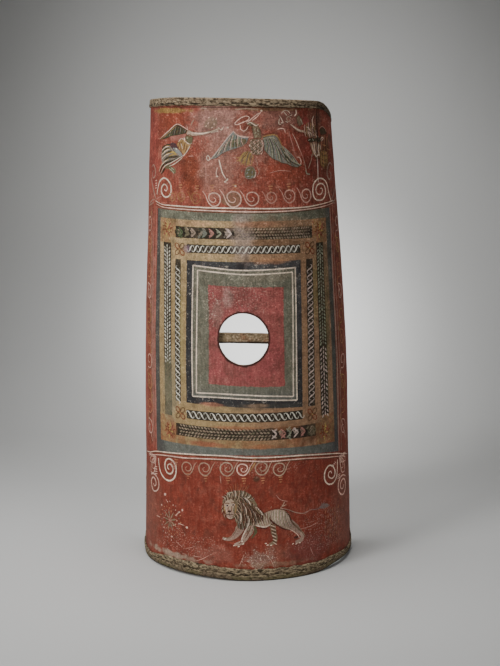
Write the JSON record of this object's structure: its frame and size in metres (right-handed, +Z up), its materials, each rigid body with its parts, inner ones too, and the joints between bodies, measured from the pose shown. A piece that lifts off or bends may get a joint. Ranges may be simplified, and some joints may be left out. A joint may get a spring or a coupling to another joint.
{
  "type": "roman scutum shield",
  "caption": "Tall half-round shield of thin painted wood, standing on its lower rim, with folded rawhide edges, an open round hole and a hand bar behind it.",
  "frame": {"origin": "middle of the footprint's box, on the ground under the lower rim", "axes": "+Z up the shield, -Y out of the bulging painted face, +Y out of the hollow, +X to the right seen from the painted side"},
  "size_m": [0.4946, 0.308, 1.0589],
  "materials": {
    "painted_board": "thin pressed wood faced with red painted hide, matt and worn, with bands of ochre, grey-green and near black",
    "rawhide": "old folded rawhide, grey-brown to ochre, crusted and matt",
    "grip_wood": "bare old wood, olive brown with reddish patches, matt"
  },
  "bodies": {
    "root": {"shield_board": "painted_board", "rim_binding_top": "rawhide", "rim_binding_bottom": "rawhide", "rim_binding_left": "rawhide", "rim_binding_right": "rawhide", "grip": "grip_wood"}
  },
  "joints": []
}
